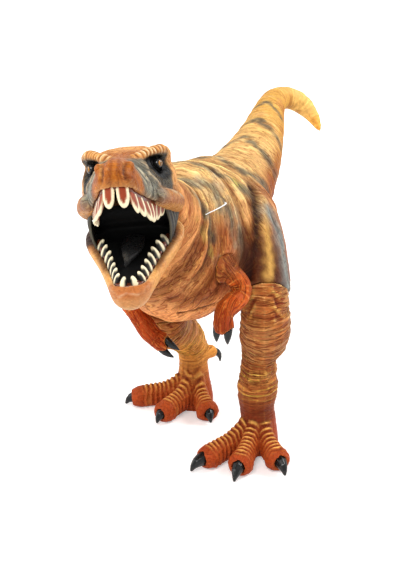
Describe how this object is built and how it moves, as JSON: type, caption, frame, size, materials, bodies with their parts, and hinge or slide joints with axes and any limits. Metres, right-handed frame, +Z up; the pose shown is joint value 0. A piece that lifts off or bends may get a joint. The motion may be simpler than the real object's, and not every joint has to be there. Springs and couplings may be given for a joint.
{
  "type": "toy dinosaur figure",
  "caption": "Soft vinyl two-legged meat-eating dinosaur, jaws wide open, mid-stride with raised tail; jaw, arms and legs turn on hidden pins and plugs.",
  "frame": {"origin": "centre of the figure's bounding box at the level of both soles", "axes": "+Z up, -Y toward the snout, +X toward the figure's own left side"},
  "size_m": [0.1082, 0.283, 0.1736],
  "materials": {
    "skin": "soft wrinkled vinyl, orange brown with dark green stripes",
    "mouth": "painted black",
    "tongue": "dark grey, slightly glossy",
    "tooth": "ivory white",
    "claw": "glossy black",
    "eye": "amber with a dark pupil",
    "plug": "brown moulded",
    "pin": "dark moulded"
  },
  "bodies": {
    "torso": {"trunk": "skin", "skull": "skin", "left_eye": "eye", "right_eye": "eye", "palate_lining": "mouth", "upper_teeth": "tooth", "jaw_pin": "pin", "left_leg_plug": "plug", "left_arm_plug": "plug", "right_leg_plug": "plug", "right_arm_plug": "plug"},
    "jaw": {"lower_jaw": "skin", "jaw_lining": "mouth", "tongue": "tongue", "lower_teeth": "tooth"},
    "left_leg_group": {"left_leg": "skin", "left_inner_toe_claw": "claw", "left_middle_toe_claw": "claw", "left_outer_toe_claw": "claw", "left_hallux_claw": "claw"},
    "left_arm_group": {"left_arm": "skin", "left_inner_finger_claw": "claw", "left_outer_finger_claw": "claw"},
    "right_leg_group": {"right_leg": "skin", "right_outer_toe_claw": "claw", "right_middle_toe_claw": "claw", "right_inner_toe_claw": "claw", "right_hallux_claw": "claw"},
    "right_arm_group": {"right_arm": "skin", "right_inner_finger_claw": "claw", "right_outer_finger_claw": "claw"}
  },
  "joints": [
    {"name": "jaw_hinge", "type": "hinge", "parent": "torso", "child": "jaw", "pos_m": [0.00266, -0.08573, 0.1417], "axis": [0.901, 0.4241, 0.0912], "range_deg": [-15, 0]},
    {"name": "left_leg_swivel", "type": "hinge", "parent": "torso", "child": "left_leg_group", "pos_m": [0.03322, -0.01303, 0.085], "axis": [-0.4206, 0.5507, 0.721], "range_deg": [-20, 20]},
    {"name": "right_leg_swivel", "type": "hinge", "parent": "torso", "child": "right_leg_group", "pos_m": [-0.01574, -0.02083, 0.0663], "axis": [-0.2494, 0.1995, 0.9476], "range_deg": [-20, 20]},
    {"name": "left_arm_swivel", "type": "hinge", "parent": "torso", "child": "left_arm_group", "pos_m": [0.02231, -0.04133, 0.10591], "axis": [1, 0, 0], "range_deg": [-45, 20]},
    {"name": "right_arm_swivel", "type": "hinge", "parent": "torso", "child": "right_arm_group", "pos_m": [-0.02609, -0.03813, 0.09877], "axis": [1, 0, 0], "range_deg": [-35, 5]}
  ]
}
